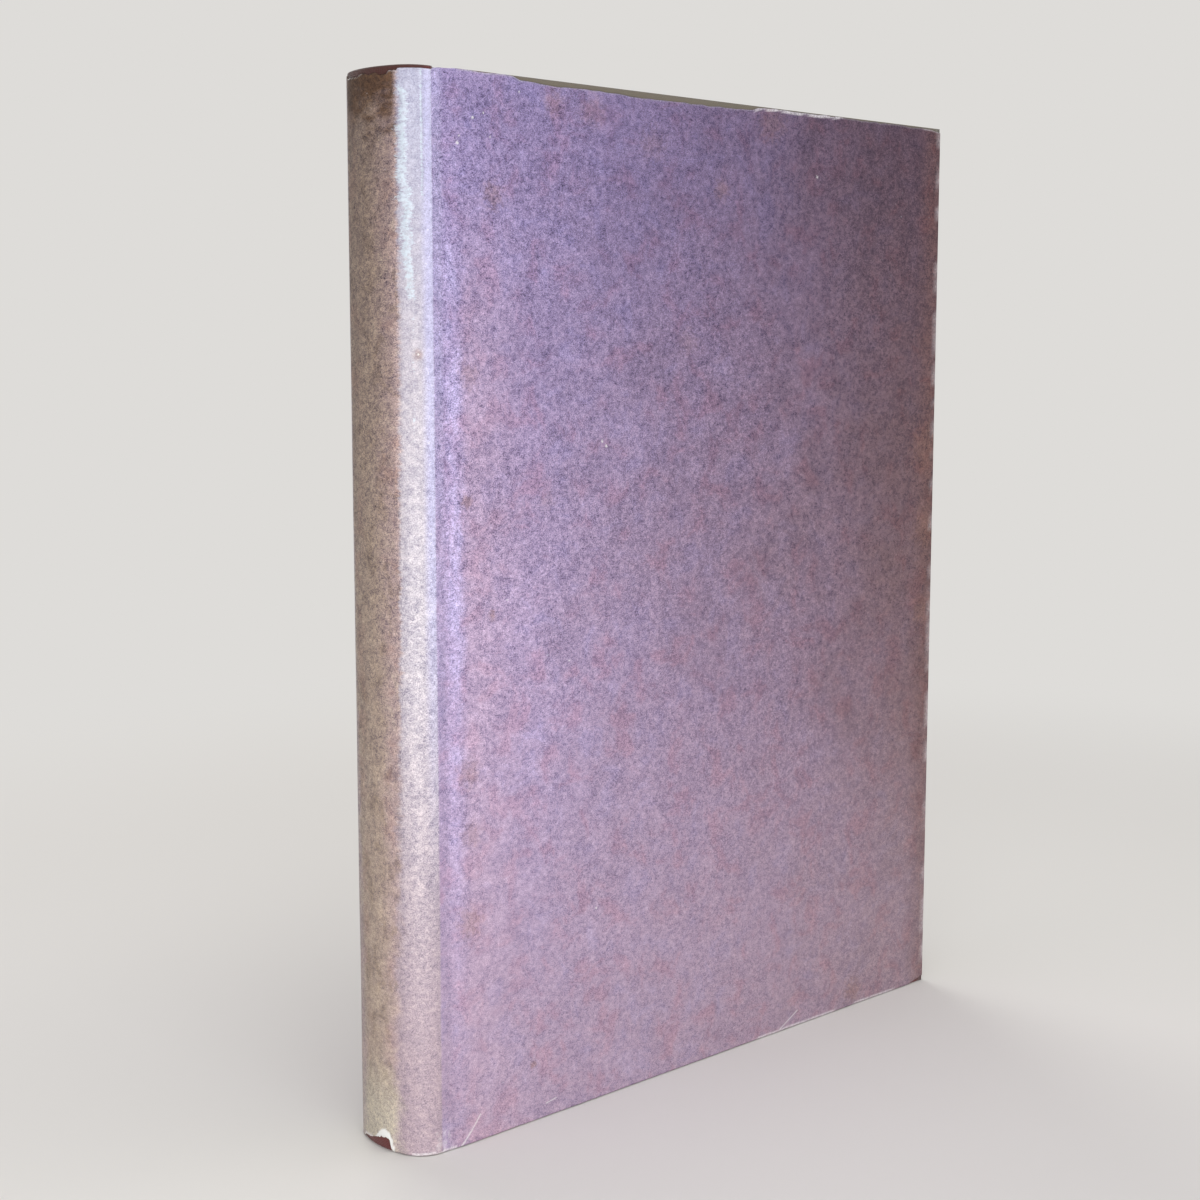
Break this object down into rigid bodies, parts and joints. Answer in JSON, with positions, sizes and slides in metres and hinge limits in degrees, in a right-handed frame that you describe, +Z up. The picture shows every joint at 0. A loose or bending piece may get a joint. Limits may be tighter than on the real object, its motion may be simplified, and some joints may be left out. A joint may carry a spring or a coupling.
{
  "type": "hardback book",
  "caption": "Hardback book with a sewn, rounded page block in a cloth case whose covers open, wrapped in a plain aged paper jacket.",
  "frame": {"origin": "centre of the closed book's box, on the surface that it stands on", "axes": "+Z up from tail to head, +X from spine to fore-edge, front cover towards -Y"},
  "size_m": [0.1859, 0.026, 0.24],
  "materials": {
    "jacket_paper": "satin",
    "case_cloth": "matte",
    "board": "matte",
    "page_paper": "matte",
    "endpaper": "matte",
    "kraft_paper": "matte",
    "mull": "matte",
    "thread": "matte",
    "band": "matte"
  },
  "bodies": {
    "book_block": {"text_block": "page_paper", "sewing_thread": "thread", "mull_spine": "mull", "spine_lining": "kraft_paper", "head_band": "band", "tail_band": "band", "spine_inlay": "board", "cloth_spine": "case_cloth", "jacket_spine": "jacket_paper", "front_flyleaf": "endpaper", "back_flyleaf": "endpaper"},
    "front_cover": {"front_board": "board", "cloth_front": "case_cloth", "mull_front_flange": "mull", "front_pastedown": "endpaper", "jacket_front": "jacket_paper"},
    "back_cover": {"back_board": "board", "cloth_back": "case_cloth", "mull_back_flange": "mull", "back_pastedown": "endpaper", "jacket_back": "jacket_paper"}
  },
  "joints": [
    {"name": "front_cover_hinge", "type": "hinge", "parent": "book_block", "child": "front_cover", "pos_m": [-0.08485, -0.0133, 0], "axis": [0, 0, -1], "range_deg": [0, 179]},
    {"name": "back_cover_hinge", "type": "hinge", "parent": "book_block", "child": "back_cover", "pos_m": [-0.08485, 0.0133, 0], "axis": [0, 0, 1], "range_deg": [0, 179]}
  ]
}
